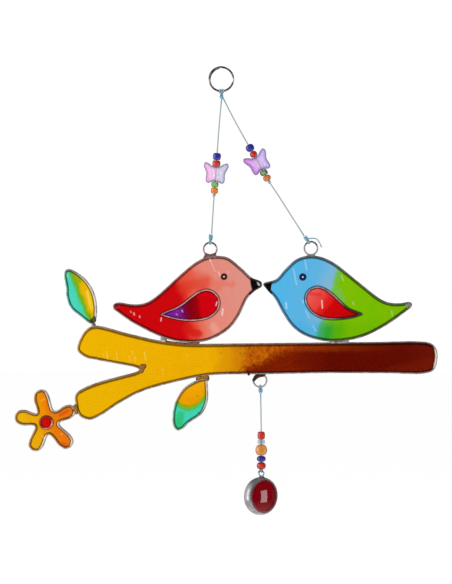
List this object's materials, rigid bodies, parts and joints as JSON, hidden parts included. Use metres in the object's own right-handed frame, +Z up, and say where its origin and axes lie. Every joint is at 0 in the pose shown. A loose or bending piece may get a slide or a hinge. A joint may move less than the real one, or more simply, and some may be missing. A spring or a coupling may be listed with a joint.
{
  "type": "suncatcher",
  "caption": "Hanging suncatcher of resin-filled metal strip: two birds on a forked branch with leaves and a flower, beaded threads and a round pendant.",
  "frame": {"origin": "the point inside the top of the split ring where a hook bears", "axes": "+X to the viewer's right, +Z up, +Y away from the viewer, so the front faces -Y"},
  "size_m": [0.241, 0.0168, 0.2555],
  "materials": {
    "ring_steel": "dark plated spring steel wire, bright along the curve",
    "thread_knot": "tight knot of teal waxed cotton cord",
    "stop_knot": "tight knot of teal waxed cotton cord",
    "thread": "pale blue-grey twisted waxed cotton cord",
    "blue_bead": "deep blue glass bead, glossy",
    "red_bead": "bright red glass bead, glossy",
    "green_bead": "green glass bead, glossy",
    "orange_bead": "orange glass bead, glossy",
    "amber_bead": "faceted amber glass bead",
    "clear_bead": "pale blue clear glass bead",
    "butterfly": "clear violet and pale blue moulded plastic",
    "eye_wire": "bent wire eye with solder around its foot",
    "tin_strip": "tinned metal strip set on edge, dull grey, darker where tarnished",
    "wing_wire": "tinned wire, pale grey",
    "solder": "dull grey solder with soft edges",
    "red_bird_resin": "clear resin, red at the tail and salmon at the head",
    "red_wing_resin": "clear resin, purple at the tip and red at the shoulder",
    "blue_bird_resin": "clear resin, light blue at the head and green at the tail",
    "blue_wing_resin": "clear resin, coral at the shoulder and deep red at the tip",
    "branch_resin": "clear resin, amber yellow running into deep red-brown",
    "upper_leaf_resin": "clear resin, turquoise running into amber",
    "lower_leaf_resin": "clear resin, turquoise running into amber",
    "flower_resin": "clear resin, yellow running into orange",
    "flower_centre_resin": "clear red resin",
    "pendant_metal": "smooth grey metal band with a soft shine",
    "pendant_glass": "deep crimson glass, glossy"
  },
  "bodies": {
    "root": {"hanging_ring": "ring_steel", "ring_knot": "thread_knot", "left_thread": "thread", "right_thread": "thread", "pendant_thread": "thread", "knot_tail": "thread", "left_blue_bead": "blue_bead", "left_red_bead": "red_bead", "left_butterfly": "butterfly", "left_green_bead": "green_bead", "left_orange_bead": "orange_bead", "left_stop_knot": "stop_knot", "right_blue_bead": "blue_bead", "right_red_bead": "red_bead", "right_butterfly": "butterfly", "right_green_bead": "green_bead", "right_orange_bead": "orange_bead", "right_stop_knot": "stop_knot", "red_bird_knot": "thread_knot", "blue_bird_knot": "thread_knot", "red_bird_eye_ring": "eye_wire", "blue_bird_eye_ring": "eye_wire", "branch_eye_ring": "eye_wire", "red_bird_frame": "tin_strip", "red_bird_resin": "red_bird_resin", "red_wing_wire": "wing_wire", "red_wing_resin": "red_wing_resin", "blue_bird_frame": "tin_strip", "blue_bird_resin": "blue_bird_resin", "blue_wing_wire": "wing_wire", "blue_wing_resin": "blue_wing_resin", "branch_frame": "tin_strip", "branch_resin": "branch_resin", "upper_leaf_frame": "tin_strip", "upper_leaf_resin": "upper_leaf_resin", "lower_leaf_frame": "tin_strip", "lower_leaf_resin": "lower_leaf_resin", "flower_frame": "tin_strip", "flower_resin": "flower_resin", "flower_centre_ring": "tin_strip", "flower_centre_resin": "flower_centre_resin", "red_bird_joint": "solder", "blue_bird_joint": "solder", "upper_leaf_joint": "solder", "lower_leaf_joint": "solder", "flower_joint": "solder", "branch_knot": "thread_knot", "upper_red_bead": "red_bead", "clear_bead": "clear_bead", "amber_bead": "amber_bead", "lower_blue_bead": "blue_bead", "lower_red_bead": "red_bead", "pendant_knot": "thread_knot", "pendant_ring": "pendant_metal", "pendant_band": "pendant_metal", "pendant_glass": "pendant_glass"}
  },
  "joints": []
}
